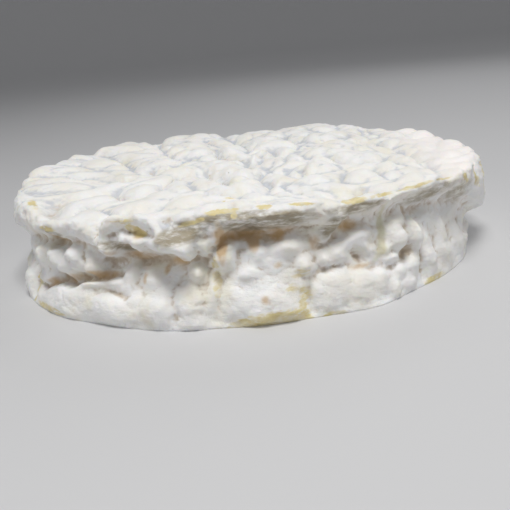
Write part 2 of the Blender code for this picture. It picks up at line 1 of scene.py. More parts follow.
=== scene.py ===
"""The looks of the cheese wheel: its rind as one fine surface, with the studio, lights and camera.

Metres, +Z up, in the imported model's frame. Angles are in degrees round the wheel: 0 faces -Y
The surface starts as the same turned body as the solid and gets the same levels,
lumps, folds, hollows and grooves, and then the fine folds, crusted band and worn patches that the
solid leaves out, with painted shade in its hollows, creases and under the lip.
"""
import math

import bmesh
import bpy
import numpy as np
from mathutils import Matrix, Vector


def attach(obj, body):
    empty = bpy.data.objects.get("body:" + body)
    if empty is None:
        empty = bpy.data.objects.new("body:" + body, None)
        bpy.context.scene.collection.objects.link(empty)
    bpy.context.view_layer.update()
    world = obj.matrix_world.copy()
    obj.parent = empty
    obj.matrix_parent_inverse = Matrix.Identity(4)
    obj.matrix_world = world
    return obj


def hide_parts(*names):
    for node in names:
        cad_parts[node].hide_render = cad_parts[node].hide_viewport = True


NAME = "rind"

# Named levels of the wall, from the base up: each has a reach (radius) and a height
BASE_REACH = 0.0620
BELLY_REACH, BELLY_HEIGHT = 0.0628, 0.0046
WAIST_REACH, WAIST_HEIGHT = 0.0592, 0.0140
UNDER_REACH, UNDER_HEIGHT = 0.0596, 0.0188
EDGE_REACH, EDGE_HEIGHT = 0.0618, 0.0200
LIP_REACH, LIP_HEIGHT = 0.0630, 0.0232
RIM_REACH, RIM_HEIGHT = 0.0595, 0.0264
TOP_HEIGHT = 0.0268
TURN_STEPS = 360

# How each level wanders round the wheel: pairs of an angle and that level's value there
BASE_REACHES = (
    (-90, 0.0640), (-60, 0.0654), (-48, 0.0652), (-34, 0.0637), (-20, 0.0639), (-5, 0.0627),
    (12, 0.0624), (24, 0.0640), (37, 0.0617), (58, 0.0615), (75, 0.0604), (90, 0.0600),
    (130, 0.0614), (170, 0.0606), (215, 0.0618), (245, 0.0610))
BELLY_REACHES = (
    (-90, 0.0634), (-60, 0.0646), (-40, 0.0640), (-18, 0.0642), (-5, 0.0624), (8, 0.0618),
    (24, 0.0636), (38, 0.0618), (60, 0.0616), (75, 0.0604), (90, 0.0606), (130, 0.0622),
    (170, 0.0614), (215, 0.0626), (245, 0.0618))
WAIST_REACHES = (
    (-90, 0.0624), (-62, 0.0620), (-45, 0.0612), (-26, 0.0584), (-12, 0.0592), (2, 0.0598),
    (15, 0.0598), (35, 0.0604), (52, 0.0602), (75, 0.0592), (110, 0.0586), (150, 0.0580),
    (190, 0.0590), (235, 0.0584))
WAIST_HEIGHTS = (
    (-75, 0.0110), (-40, 0.0150), (-15, 0.0145), (20, 0.0150), (50, 0.0120), (76, 0.0064),
    (120, 0.0130), (180, 0.0140), (240, 0.0130))
UNDER_REACHES = (
    (-90, 0.0620), (-60, 0.0610), (-45, 0.0602), (-28, 0.0586), (-14, 0.0592), (-4, 0.0580),
    (12, 0.0588), (30, 0.0594), (50, 0.0596), (72, 0.0616), (110, 0.0594), (160, 0.0588),
    (220, 0.0594))
EDGE_REACHES = (
    (-90, 0.0634), (-55, 0.0630), (-41, 0.0622), (-33, 0.0624), (-26, 0.0616), (-16, 0.0632),
    (-9, 0.0620), (0, 0.0611), (10, 0.0611), (16, 0.0616), (24, 0.0604), (45, 0.0603),
    (60, 0.0626), (76, 0.0654), (110, 0.0620), (160, 0.0606), (220, 0.0614))
EDGE_HEIGHTS = (
    (-78, 0.0172), (-57, 0.0186), (-41, 0.0202), (-33, 0.0182), (-27, 0.0196), (-16, 0.0174),
    (-9, 0.0195), (-4, 0.0218), (12, 0.0212), (18, 0.0209), (28, 0.0212), (42, 0.0206),
    (58, 0.0176), (76, 0.0104), (100, 0.0155), (128, 0.0205), (150, 0.0185), (178, 0.0208),
    (205, 0.0180), (232, 0.0202), (262, 0.0170))
LIP_REACHES = (
    (-96, 0.0654), (-76, 0.0656), (-50, 0.0636), (-30, 0.0630), (-16, 0.0636), (0, 0.0634),
    (20, 0.0634), (42, 0.0632), (60, 0.0648), (74, 0.0662), (95, 0.0636), (130, 0.0620),
    (165, 0.0610), (200, 0.0612), (235, 0.0626))
LIP_HEIGHTS = (
    (-75, 0.0222), (-50, 0.0210), (-41, 0.0214), (-30, 0.0226), (-16, 0.0202), (-8, 0.0240),
    (2, 0.0250), (12, 0.0246), (18, 0.0236), (28, 0.0243), (45, 0.0236), (60, 0.0218),
    (74, 0.0190), (95, 0.0205), (130, 0.0238), (180, 0.0236), (230, 0.0240))
RIM_HEIGHTS = (
    (-98, 0.0272), (-70, 0.0264), (-54, 0.0242), (-40, 0.0242), (-27, 0.0254), (-12, 0.0262),
    (0, 0.0272), (14, 0.0262), (30, 0.0257), (55, 0.0252), (78, 0.0254), (97, 0.0250),
    (118, 0.0264), (142, 0.0278), (180, 0.0260), (200, 0.0280), (248, 0.0286))
LEVELS = (
    (0.0, BASE_REACH, None, BASE_REACHES),
    (BELLY_HEIGHT, BELLY_REACH, None, BELLY_REACHES),
    (WAIST_HEIGHT, WAIST_REACH, WAIST_HEIGHTS, WAIST_REACHES),
    (UNDER_HEIGHT, UNDER_REACH, EDGE_HEIGHTS, UNDER_REACHES),
    (EDGE_HEIGHT, EDGE_REACH, EDGE_HEIGHTS, EDGE_REACHES),
    (LIP_HEIGHT, LIP_REACH, LIP_HEIGHTS, LIP_REACHES),
    (RIM_HEIGHT, RIM_REACH, RIM_HEIGHTS, LIP_REACHES),
)

# Lumps on the wall: angle, height, half width, half height, how far they stand out, and tilt
LUMPS = (
    # The left end, the mass and the small lumps right of it
    (-68.0, 0.0048, 0.0056, 0.0048, 0.0014, 0),
    (-67.0, 0.0140, 0.0060, 0.0034, 0.0014, 10),
    (-48.0, 0.0150, 0.0125, 0.0042, 0.0033, 5),
    (-56.5, 0.0134, 0.0060, 0.0034, 0.0024, 14),
    (-47.5, 0.0121, 0.0046, 0.0018, 0.0018, 14),
    (-45.0, 0.0172, 0.0033, 0.0019, 0.0014, 8),
    (-38.5, 0.0142, 0.0041, 0.0024, 0.0021, 12),
    (-38.5, 0.0096, 0.0045, 0.0014, 0.0018, 6),
    (-32.8, 0.0102, 0.0023, 0.0015, 0.0018, 0),
    (-29.0, 0.0096, 0.0021, 0.0014, 0.0015, -10),
    (-28.5, 0.0120, 0.0032, 0.0019, 0.0015, 10),
    (-22.6, 0.0110, 0.0027, 0.0022, 0.0019, 0),
    (-26.3, 0.0076, 0.0020, 0.0020, 0.0016, 0),
    (-27.5, 0.0149, 0.0020, 0.0014, 0.0011, 0),
    (-23.6, 0.0143, 0.0021, 0.0015, 0.0011, 0),
    # The foot from the left end to the middle
    (-45.0, 0.0032, 0.0150, 0.0047, 0.0014, 7),
    (-31.0, 0.0034, 0.0085, 0.0043, 0.0016, 0),
    (-20.5, 0.0058, 0.0038, 0.0062, 0.0014, 0),
    (-14.0, 0.0072, 0.0031, 0.0043, 0.0014, 0),
    (-13.5, 0.0020, 0.0036, 0.0023, 0.0012, 0),
    # Below the drooping rim
    (-48.0, 0.0216, 0.0080, 0.0018, 0.0010, -4),
    (-32.5, 0.0187, 0.0021, 0.0016, 0.0020, 0),
    (-27.5, 0.0212, 0.0016, 0.0015, 0.0016, 20),
    (-24.5, 0.0198, 0.0022, 0.0009, 0.0016, 0),
    (-16.5, 0.0198, 0.0054, 0.0032, 0.0018, 0),
    (-14.5, 0.0186, 0.0027, 0.0017, 0.0030, 0),
    (-9.8, 0.0184, 0.0023, 0.0013, 0.0026, 6),
    # The knob, the finger-shaped lump and the rib at the foot of them
    (-12.1, 0.0132, 0.0021, 0.0030, 0.0026, -4),
    (-6.2, 0.0168, 0.0030, 0.0042, 0.0033, -8),
    (-9.0, 0.0095, 0.0013, 0.0046, 0.0011, 0),
    # The broad bulge in the middle and the lumps round it
    (1.2, 0.0096, 0.0096, 0.0096, 0.0017, 0),
    (2.0, 0.0040, 0.0092, 0.0046, 0.0024, 0),
    (1.2, 0.0166, 0.0027, 0.0023, 0.0021, 0),
    (6.8, 0.0170, 0.0035, 0.0029, 0.0025, 0),
    (9.6, 0.0126, 0.0025, 0.0025, 0.0024, 0),
    (-2.0, 0.0128, 0.0027, 0.0019, 0.0021, 20),
    # Left of the arch and on top of it
    (14.4, 0.0192, 0.0030, 0.0028, 0.0013, 0),
    (17.0, 0.0206, 0.0036, 0.0016, 0.0010, 32),
    (15.0, 0.0136, 0.0017, 0.0017, 0.0018, 0),
    (18.0, 0.0138, 0.0018, 0.0023, 0.0015, 0),
    (12.0, 0.0119, 0.0013, 0.0015, 0.0012, 0),
    (23.5, 0.0174, 0.0031, 0.0018, 0.0017, 10),
    # The foot right of the middle
    (15.0, 0.0058, 0.0040, 0.0052, 0.0012, -4),
    (21.8, 0.0050, 0.0032, 0.0044, 0.0010, 8),
    (26.8, 0.0062, 0.0022, 0.0036, 0.0008, 16),
    (30.0, 0.0030, 0.0023, 0.0025, 0.0014, 30),
    # The right wall
    (30.5, 0.0094, 0.0030, 0.0013, 0.0016, 5),
    (29.2, 0.0122, 0.0016, 0.0020, 0.0015, 0),
    (32.4, 0.0142, 0.0027, 0.0030, 0.0024, 25),
    (33.0, 0.0176, 0.0035, 0.0016, 0.0016, 18),
    (37.8, 0.0138, 0.0023, 0.0046, 0.0028, 4),
    (33.4, 0.0062, 0.0018, 0.0023, 0.0010, 0),
    (36.8, 0.0068, 0.0022, 0.0029, 0.0009, 0),
    (34.6, 0.0024, 0.0024, 0.0019, 0.0009, 0),
    # Tall folds of the right end, with their feet, and soft swells above them
    (42.6, 0.0080, 0.0026, 0.0064, 0.0013, 10),
    (43.5, 0.0030, 0.0034, 0.0024, 0.0007, 20),
    (49.4, 0.0096, 0.0030, 0.0070, 0.0014, 16),
    (52.0, 0.0038, 0.0040, 0.0032, 0.0007, 10),
    (57.6, 0.0082, 0.0036, 0.0066, 0.0012, 14),
    (66.0, 0.0072, 0.0042, 0.0058, 0.0011, 10),
    (75.0, 0.0060, 0.0042, 0.0048, 0.0008, 6),
    (46.0, 0.0172, 0.0056, 0.0022, 0.0008, 24),
    (58.0, 0.0160, 0.0062, 0.0028, 0.0008, 28),
)

# Folds on the wall: points of an angle and a height, then half width and how far they stand out
WALL_FOLDS = (
    (((18.5, 0.0112), (19.3, 0.0150), (21.6, 0.0162), (24.5, 0.0150), (26.4, 0.0116)),
     0.0014, 0.0018),
)
# Folds and grooves that run over the rim, given the same way
RIM_FOLDS = (
    (((-31.2, 0.0180), (-31.9, 0.0208), (-30.7, 0.0234), (-28.6, 0.0247), (-24.0, 0.0253),
      (-20.4, 0.0245), (-18.6, 0.0225), (-17.6, 0.0195)), 0.0011, 0.0024),
    (((-57.5, 0.0190), (-53, 0.0214), (-47.3, 0.0225), (-41.5, 0.0231), (-36.8, 0.0224),
      (-34.6, 0.0208), (-33.2, 0.0184)), 0.0013, 0.0013),
    (((-16, 0.0256), (-10.6, 0.0270), (-6, 0.0279), (0, 0.0280), (5.7, 0.0272), (10.5, 0.0262),
      (18.8, 0.0252), (30, 0.0251), (45, 0.0249), (56, 0.0232)), 0.0009, 0.0008),
)
RIM_GROOVES = (
    (((-66, 0.0286), (-60, 0.0266), (-55, 0.0253), (-50, 0.0247), (-44, 0.0247)), 0.0012, 0.0024),
    (((-33.6, 0.0212), (-34.0, 0.0236), (-32.6, 0.0258), (-31.0, 0.0278)), 0.0009, 0.0016),
    (((-17.2, 0.0232), (-16.8, 0.0252), (-17.4, 0.0276)), 0.0009, 0.0010),
    (((-24.5, 0.0222), (-27.5, 0.0226), (-29.2, 0.0214)), 0.0010, 0.0012),
)
# Grooves in the wall: points of an angle and a height, then half width and depth
WALL_GROOVES = (
    (((-61, 0.0036), (-55, 0.0066), (-49, 0.0086), (-44, 0.0100), (-38, 0.0112),
      (-32, 0.0118)), 0.0011, 0.0046),
    (((-37, 0.0071), (-33, 0.0083), (-29.7, 0.0086), (-26.5, 0.0080)), 0.0011, 0.0028),
    (((-62.5, 0.0), (-63, 0.0040), (-62, 0.0080), (-60, 0.0115)), 0.0009, 0.0018),
    (((-17.2, 0.0), (-17, 0.0060), (-18.5, 0.0120)), 0.0009, 0.0006),
    (((-8.4, 0.0), (-8.2, 0.0060), (-7.8, 0.0120), (-7.9, 0.0200)), 0.0011, 0.0008),
    (((-3.6, 0.0180), (-3.3, 0.0156), (-4.6, 0.0130)), 0.0006, 0.0007),
    (((11.0, 0.0), (11.0, 0.0040), (10.6, 0.0085)), 0.0006, 0.0012),
    (((12.5, 0.0112), (19, 0.0106), (24, 0.0094), (29, 0.0083), (35, 0.0086)),
     0.0008, 0.0010),
    (((11.4, 0.0206), (12.6, 0.0180), (14.4, 0.0160), (16.5, 0.0172), (19.8, 0.0200)),
     0.0007, 0.0010),
    (((39.2, 0.0), (39.5, 0.0050), (39.2, 0.0095)), 0.0006, 0.0015),
)
# Hollows in the wall: angle, height, half width, half height and depth
HOLLOWS = (
    (-33.5, 0.0146, 0.0032, 0.0024, 0.0024),
    (-50.5, 0.0178, 0.0042, 0.0014, 0.0024),
    (-53.5, 0.0138, 0.0018, 0.0022, 0.0020),
    (-46.4, 0.0160, 0.0015, 0.0024, 0.0026),
    (-41.0, 0.0158, 0.0013, 0.0022, 0.0020),
    (-43.8, 0.0134, 0.0026, 0.0010, 0.0014),
    (-23.5, 0.0164, 0.0095, 0.0016, 0.0022),
    (-24.8, 0.0222, 0.0030, 0.0013, 0.0022),
    (-50.0, 0.0184, 0.0080, 0.0010, 0.0010),
    (-1.0, 0.0206, 0.0075, 0.0009, 0.0016),
    (22.3, 0.0120, 0.0014, 0.0013, 0.0018),
    (22.8, 0.0195, 0.0028, 0.0010, 0.0014),
    (39.0, 0.0192, 0.0070, 0.0012, 0.0014),
    (54.0, 0.0186, 0.0080, 0.0014, 0.0014),
    (35.0, 0.0104, 0.0016, 0.0014, 0.0014),
)

# Grooves in the top: points in X and Y, then half width and depth
TOP_GROOVES = (
    (((-0.058, 0.004), (-0.052, 0.002), (-0.046, -0.006), (-0.038, -0.008), (-0.032, -0.013),
      (-0.027, 0.004), (-0.021, 0.001), (-0.017, 0.011), (-0.011, 0.011)), 0.0019, 0.0020),
    (((-0.048, -0.025), (-0.041, -0.025), (-0.034, -0.022), (-0.030, -0.031), (-0.023, -0.028),
      (-0.018, -0.013), (-0.012, -0.010), (-0.008, -0.022), (-0.004, -0.033), (0.001, -0.037),
      (0.005, -0.035)), 0.0018, 0.0021),
    (((-0.043, -0.042), (-0.041, -0.036), (-0.034, -0.040), (-0.030, -0.048), (-0.023, -0.049),
      (-0.018, -0.042), (-0.012, -0.039), (-0.006, -0.044), (0.000, -0.049)), 0.0016, 0.0019),
    (((-0.053, 0.030), (-0.047, 0.031), (-0.039, 0.021), (-0.034, 0.010), (-0.030, -0.003)),
     0.0018, 0.0017),
    (((-0.035, 0.040), (-0.031, 0.052), (-0.024, 0.022), (-0.020, 0.006)), 0.0019, 0.0018),
    (((-0.006, 0.063), (-0.005, 0.050), (-0.001, 0.040), (0.001, 0.022), (0.001, 0.002)),
     0.0022, 0.0019),
    (((-0.012, 0.010), (-0.009, 0.015), (-0.005, 0.006), (0.000, 0.003), (0.001, -0.010),
      (0.002, -0.020)), 0.0017, 0.0017),
    (((0.004, -0.012), (0.004, 0.006), (0.008, 0.012), (0.011, -0.001), (0.010, -0.015)),
     0.0016, 0.0018),
    (((0.004, -0.012), (0.006, -0.020), (0.009, -0.024), (0.012, -0.020), (0.015, -0.031),
      (0.021, -0.032)), 0.0016, 0.0017),
    (((0.004, -0.012), (0.004, -0.025), (0.005, -0.039), (0.006, -0.052)), 0.0015, 0.0016),
    (((0.005, -0.041), (0.008, -0.037), (0.011, -0.046), (0.017, -0.050), (0.022, -0.052),
      (0.026, -0.049), (0.030, -0.055), (0.035, -0.054), (0.041, -0.050)), 0.0015, 0.0018),
    (((0.014, 0.047), (0.013, 0.030), (0.016, 0.017), (0.015, -0.002)), 0.0018, 0.0016),
    (((0.016, 0.017), (0.023, 0.012), (0.030, 0.016), (0.038, 0.014), (0.043, 0.004),
      (0.046, -0.012), (0.047, -0.030), (0.045, -0.044)), 0.0022, 0.0018),
    (((0.013, -0.009), (0.016, -0.013), (0.021, -0.007), (0.026, -0.014), (0.033, -0.017),
      (0.039, -0.023), (0.045, -0.030)), 0.0017, 0.0017),
    (((0.019, -0.024), (0.027, -0.023), (0.031, -0.027), (0.034, -0.034), (0.034, -0.044)),
     0.0016, 0.0016),
    (((0.039, 0.044), (0.040, 0.032), (0.041, 0.018)), 0.0020, 0.0014),
    (((-0.012, -0.0520), (-0.008, -0.0512), (-0.003, -0.0505), (0.003, -0.0520),
      (0.012, -0.0530)), 0.0009, 0.0012),
)
# How many times deeper they are made, how sharp they are, and how far noise bends them
TOP_GROOVE_DEPTH, TOP_GROOVE_POWER = 1.75, 1.15
TOP_BEND_LENGTH, TOP_BEND = 0.0130, 0.0008

# Wrinkles of the top: pillows between winding valleys, drawn out along X on the left
PILLOW_LENGTH, PILLOW_RAISE = 0.0200, 0.0016
DIMPLE_LENGTH, DIMPLE_RAISE = 0.0100, 0.0008
DRAWN_OUT_FROM, DRAWN_OUT_BY = -0.018, 2.1
SWELL_LENGTH, SWELL_RAISE = 0.052, 0.0005
# Towards the right rim they lose a share of their height, between these two values of X, and
# wider swells take their place
SMOOTH_FROM, SMOOTH_TO, SMOOTH_SHARE = 0.043, 0.052, 0.8
EDGE_SWELL_LENGTH, EDGE_SWELL_RAISE = 0.0150, 0.0015
# Towards the back rim they lose a share of it too, between these two values of Y
BACK_RIM_FROM, BACK_RIM_TO, BACK_RIM_SHARE = 0.034, 0.056, 0.4

# Unseen wall: lumps in rows from one angle to another, of the sizes of the seen ones. Each row
# has a height, a spacing in degrees, and the half width and half height of its lumps.
BACK_START, BACK_END = 82.0, 286.0
BACK_ROWS = (
    (0.0050, 7.6, 0.0046, 0.0048),
    (0.0120, 8.2, 0.0042, 0.0032),
    (0.0175, 9.0, 0.0050, 0.0022),
)
BACK_RAISE = (0.0010, 0.0022)
BACK_SEED = 11

# The plain drum that heights of spots and lines are measured on, and the slope of that view
DRUM_REACH, VIEW_SLOPE = 0.0625, 0.30
# Finer lumps of the wall, and how far noise bends the outlines of the named ones
WALL_LENGTH, WALL_RAISE = 0.0110, 0.0004
BEND_LENGTH, BEND = 0.0090, 0.0006
WALL_SINK = 0.0009
# How steeply a face has to turn up to be the top's, from partly to fully, and the heights
# between which the wall's relief grows at the base and dies out at the rim
TOP_FACING = (0.35, 0.85)
WALL_START = (0.0004, 0.0020)
WALL_END = (0.0225, 0.0262)
# How fast a lump falls off, how sharply it meets its neighbours (more is sharper), and how
# many times higher than its own value it stands
LUMP_FALL, LUMP_MELT, LUMP_RAISE = 1.10, 3.2, 1.2

# Noise: its number of waves, the shortest and longest as shares of its named length, and the
# usual height of the pillows made from it
WAVE_COUNT = 36
WAVE_SPREAD = (0.72, 1.45)
PILLOW_MIDDLE = 0.8

# Fine folds over everything: wave length, raise and seed of each, from larger to smaller. They
# are less high than wide, fainter on the top, and stronger on the lip above these heights.
FINE_FOLDS = ((0.0056, 0.00020, 51), (0.0030, 0.00012, 52), (0.0018, 0.00007, 53))
FINE_FOLD_FLATNESS = 1.6
FINE_FOLDS_ON_TOP, FINE_FOLDS_ON_LIP = 0.5, 1.8
LIP_EDGE = (0.0190, 0.0230)
# For the fine folds and the colours, the top is the faces that turn up this steeply, and for
# the colours they also lie above these heights
FINE_TOP_FACING, COLOURED_TOP_HEIGHT = (0.45, 0.80), (0.0200, 0.0235)

# Marks on the wall: angle, height, half width, half height, strength and tilt.
# Worn places show the yellow paste through the mould; the places of stain and shade are partly
# ochre stains of age and partly painted shade under the lip and in creases.
WORN_PLACES = (
    (-48.5, 0.0213, 0.0052, 0.0009, 1.1, 4),
    (-27.0, 0.0248, 0.0038, 0.0007, 1.1, 6),
    (-24.4, 0.0227, 0.0032, 0.0013, 2.2, -20),
    (-12.0, 0.0244, 0.0044, 0.0008, 1.0, 12),
    (-5.5, 0.0264, 0.0054, 0.0007, 1.2, 4),
    (-3.3, 0.0254, 0.0009, 0.0013, 1.1, 0),
    (2.8, 0.0267, 0.0024, 0.0007, 1.2, -4),
    (10.0, 0.0262, 0.0038, 0.0005, 1.0, -8),
    (21.5, 0.0251, 0.0034, 0.0010, 1.6, -2),
    (28.5, 0.0250, 0.0064, 0.0006, 1.1, 0),
    (38.0, 0.0249, 0.0064, 0.0006, 1.1, 0),
    (47.5, 0.0244, 0.0050, 0.0006, 1.0, -6),
    (57.0, 0.0222, 0.0042, 0.0012, 1.1, -30),
    (66.0, 0.0195, 0.0042, 0.0016, 1.1, -45),
    (76.0, 0.0190, 0.0070, 0.0060, 0.9, -30),
    (-33.0, 0.0183, 0.0009, 0.0006, 1.0, 0),
    (2.0, 0.0006, 0.0115, 0.0032, 1.6, 4),
    (9.6, 0.0050, 0.0024, 0.0052, 0.7, -8),
    (9.2, 0.0112, 0.0034, 0.0018, 0.6, 20),
    (7.0, 0.0080, 0.0024, 0.0016, 0.6, -10),
    (-8.4, 0.0120, 0.0016, 0.0062, 0.8, 0),
    (-62.0, 0.0040, 0.0014, 0.0060, 1.1, 0),
    (-52.0, 0.0004, 0.0090, 0.0012, 1.1, 0),
    (15.0, 0.0004, 0.0040, 0.0010, 1.0, 0),
    (44.0, 0.0008, 0.0060, 0.0016, 1.0, 0),
)
# Stains of age in the ring's pocket and small ochre dots; the band and tongues right under the lip,
# the wall under the left rim and the crease below the left mass are painted shade.
STAIN_AND_SHADE_PLACES = (
    (-24.0, 0.0222, 0.0022, 0.0016, 1.0, 0),
    (0.0, 0.0212, 0.0125, 0.0018, 0.9, 0),
    (-6.6, 0.0194, 0.0016, 0.0056, 1.3, 0),
    (-0.2, 0.0198, 0.0020, 0.0034, 1.3, 0),
    (5.2, 0.0206, 0.0024, 0.0022, 1.1, 0),
    (21.5, 0.0198, 0.0036, 0.0018, 0.8, 0),
    (13.0, 0.0178, 0.0018, 0.0028, 0.8, 0),
    (23.0, 0.0100, 0.0050, 0.0008, 0.6, 0),
    (4.5, 0.0135, 0.0014, 0.0010, 0.8, 30),
    (1.3, 0.0060, 0.0014, 0.0014, 0.8, 0),
    (-24.5, 0.0118, 0.0010, 0.0018, 0.9, 0),
    (-20.0, 0.0140, 0.0012, 0.0018, 0.9, 0),
    (-55.0, 0.0068, 0.0050, 0.0013, 0.7, 25),
    (-47.0, 0.0092, 0.0060, 0.0013, 0.7, 16),
    (-37.0, 0.0116, 0.0060, 0.0014, 0.8, 8),
    (-50.0, 0.0190, 0.0060, 0.0010, 0.7, 0),
    (-27.0, 0.0172, 0.0060, 0.0014, 0.8, 0),
    (-17.0, 0.0160, 0.0040, 0.0014, 0.7, 0),
)
# The rough dark band below the crest, a crusted rind that is also painted shade where the lip's
# face turns under, and painted shade on the wall in the shade of the lip
CRUST_AND_SHADE_PLACES = (
    (0.0, 0.0240, 0.0170, 0.0024, 1.3, -3),
    (-14.0, 0.0220, 0.0070, 0.0032, 1.2, 20),
    (-30.0, 0.0192, 0.0060, 0.0014, 0.8, 0),
    (-49.0, 0.0200, 0.0080, 0.0012, 0.8, 0),
    (22.0, 0.0234, 0.0090, 0.0014, 1.0, 0),
    (17.0, 0.0205, 0.0050, 0.0024, 0.9, 30),
    (44.0, 0.0222, 0.0120, 0.0020, 0.7, 0),
    (58.0, 0.0190, 0.0080, 0.0040, 0.5, 0),
)
# A dried drip on the wall: points of an angle and a height, then half width and strength
DRIPS = (
    (((29.9, 0.0236), (29.7, 0.0190), (29.4, 0.0158), (28.4, 0.0126), (25.8, 0.0100)),
     0.0010, 0.9),
)

# Worn lines on the top: points in X and Y, then half width and strength
TOP_WORN = (
    (((-0.058, -0.018), (-0.055, -0.025), (-0.053, -0.030)), 0.0012, 0.9),
    (((-0.048, -0.037), (-0.044, -0.042)), 0.0012, 0.8),
    (((-0.010, -0.0505), (-0.006, -0.0495), (-0.003, -0.0490)), 0.0005, 0.9),
    (((0.020, -0.0585), (0.028, -0.0570), (0.038, -0.0520)), 0.0009, 0.9),
    (((0.047, -0.048), (0.050, -0.046)), 0.0020, 0.9),
    (((-0.064, 0.006), (-0.062, 0.001)), 0.0015, 0.7),
)

# The top's right rim is rosy, from partly to fully between these two values of X
ROSY_EDGE = (0.040, 0.056)

# Voxel sizes of the two remeshed stages, the final number of triangles and the base cut
BODY_VOXEL, RIND_VOXEL = 0.00060, 0.00046
TRIANGLES = 186000
BASE_CUT = 0.0004
# Length along the wall of one degree
ARC = math.radians(1) * BELLY_REACH

# Smoothing passes and depths in metres by which hollows and fine creases are measured, for the
# painted shade in them
WIDE_PASSES, WIDE_DEPTH = 60, 0.0010
FINE_PASSES, FINE_DEPTH = 4, 0.00012

# Colours of the rind. Lavender, taupe and the crease brown are painted shade; the ochre and the
# dark band's colour are partly stains and crusted rind and partly painted shade.
WHITE = (0.88, 0.875, 0.865, 1)
CREAM = (0.86, 0.84, 0.79, 1)
VALLEY_SHADE_LAVENDER = (0.58, 0.60, 0.64, 1)
ROSY = (0.96, 0.91, 0.885, 1)
SALLOW = (0.80, 0.76, 0.60, 1)
HOLLOW_SHADE_TAUPE = (0.56, 0.45, 0.33, 1)
CREASE_SHADE_AND_SPECK_BROWN = (0.36, 0.28, 0.19, 1)
OCHRE_STAIN_AND_SHADE = (0.60, 0.40, 0.19, 1)
CRUST_AND_SHADE = (0.37, 0.32, 0.23, 1)
YELLOW = (0.73, 0.62, 0.30, 1)
GREENISH = (0.64, 0.61, 0.44, 1)

# Sizes of the grain in the colours, in metres, and of the two that are only felt as bumps
COARSE, MOTTLE, MIDDLE, STREAKS, FINE = 0.011, 0.0070, 0.0034, 0.0015, 0.0011
WRINKLE, VELVET = 0.0016, 0.00045
# Roughness of the mould and of the places where it is worn
ROUGHNESS, WORN_ROUGHNESS = 0.86, 0.56

# The studio: how far its flat floor reaches, the radius of the bend, the height of the wall
# and the number of steps round it, then the floor's looks and the air's
FLOOR_REACH, FLOOR_BEND, STUDIO_HEIGHT, FLOOR_STEPS = 1.5, 0.6, 1.4, 96
FLOOR_COLOUR, FLOOR_ROUGHNESS, FLOOR_GLOW = (0.56, 0.56, 0.57, 1), 0.7, 0.06
AIR_COLOUR, AIR_STRENGTH = (0.9, 0.93, 1.0, 1), 0.10
# Square lights: name, place, size, power and colour. They point a little above the base.
LIGHTS = (
    ("key", (0.02, -0.24, 0.54), 0.20, 2.5, (1.0, 0.995, 0.98)),
    ("right", (0.85, -0.22, 0.30), 0.40, 1.0, (1, 1, 1)),
    ("left", (-0.85, -0.44, 0.24), 0.40, 1.1, (1, 1, 1)),
    ("back", (0.20, 0.50, 0.42), 0.30, 0.50, (1, 1, 1)),
)
LIT_POINT = Vector((0, 0, 0.015))

# The photographed view: where the camera stands, how far it looks down and how it is rolled
CAMERA_PLACE = (0.0, -0.2168, 0.0627)
CAMERA_PITCH, CAMERA_ROLL = 16.72, -5.6
CAMERA_LENS, SENSOR_WIDTH = 54.14, 36.0


def ease(value, low, high):
    """0 below low, 1 above high, smooth between; low may be the larger one."""
    t = np.clip((value - low) / (high - low), 0, 1)
    return t * t * (3 - 2 * t)


def around(pairs, angle):
    """A level's value at each angle, eased from one pair to the next and closed over a turn."""
    angles, values = np.array(pairs + ((pairs[0][0] + 360, pairs[0][1]),)).T
    angle = (angle - angles[0]) % 360 + angles[0]
    i = np.clip(np.searchsorted(angles, angle, side="right") - 1, 0, len(angles) - 2)
    along = ease(angle, angles[i], angles[i + 1])
    return values[i] * (1 - along) + values[i + 1] * along


def waves(points, length, seed):
    """Smooth random heights of about -1 to 1, from plane waves of lengths near the one given."""
    random = np.random.default_rng(seed)
    directions = random.normal(size=(WAVE_COUNT, points.shape[1]))
    directions /= np.linalg.norm(directions, axis=1, keepdims=True)
    lengths = length * random.uniform(*WAVE_SPREAD, size=(WAVE_COUNT, 1))
    phases = random.uniform(0, 2 * math.pi, WAVE_COUNT)
    sums = np.cos(points @ (2 * math.pi * directions / lengths).T + phases).sum(axis=1)
    return sums / math.sqrt(WAVE_COUNT)


def pillow_relief(points, length, seed):
    """A relief of rounded cells between winding valleys, some of it above 0 and some below."""
    cells = np.clip(np.abs(waves(points, length, seed)) / 0.8, 0, 1.6) ** 0.6
    return cells - PILLOW_MIDDLE


def line_height(places, lines, power=2.0):
    """Height of the highest line at each place; every line fades out towards its ends.

    The power shapes the cross-section: 2 gives a rounded one and less a sharper one.
    """
    highest = np.zeros(len(places))
    for path, half_width, stand_out in lines:
        path = np.array(path)
        count = len(path) - 1
        for i in range(count):
            step = path[i + 1] - path[i]
            along = np.clip((places - path[i]) @ step / (step @ step), 0, 1)
            gap = np.linalg.norm(places - path[i] - along[:, None] * step, axis=1)
            fade = np.sin(np.clip((i + along) / count, 0.04, 0.96) * math.pi) ** 0.5
            highest = np.maximum(highest, stand_out * fade * np.exp(-(gap / half_width) ** power))
    return highest


def line_on_wall(angle, height, lines):
    """The same for lines on the wall, whose points are an angle and a height."""
    wall = np.stack([angle * ARC, height], axis=1)
    flat_lines = [([(a * ARC, z) for a, z in path], width, rise) for path, width, rise in lines]
    return line_height(wall, flat_lines)


def turn_from(angle, centre):
    """Distance along the wall from a centre angle, the short way round."""
    return ((angle - centre + 180) % 360 - 180) * ARC


def spot_reach(angle, height, spot):
    """Squared distance from an oval spot's middle, 1 at its outline."""
    centre, level, half_width, half_height, _, tilt = spot
    along, up = turn_from(angle, centre), height - level
    c, s = math.cos(math.radians(tilt)), math.sin(math.radians(tilt))
    return ((along * c + up * s) / half_width) ** 2 + ((up * c - along * s) / half_height) ** 2


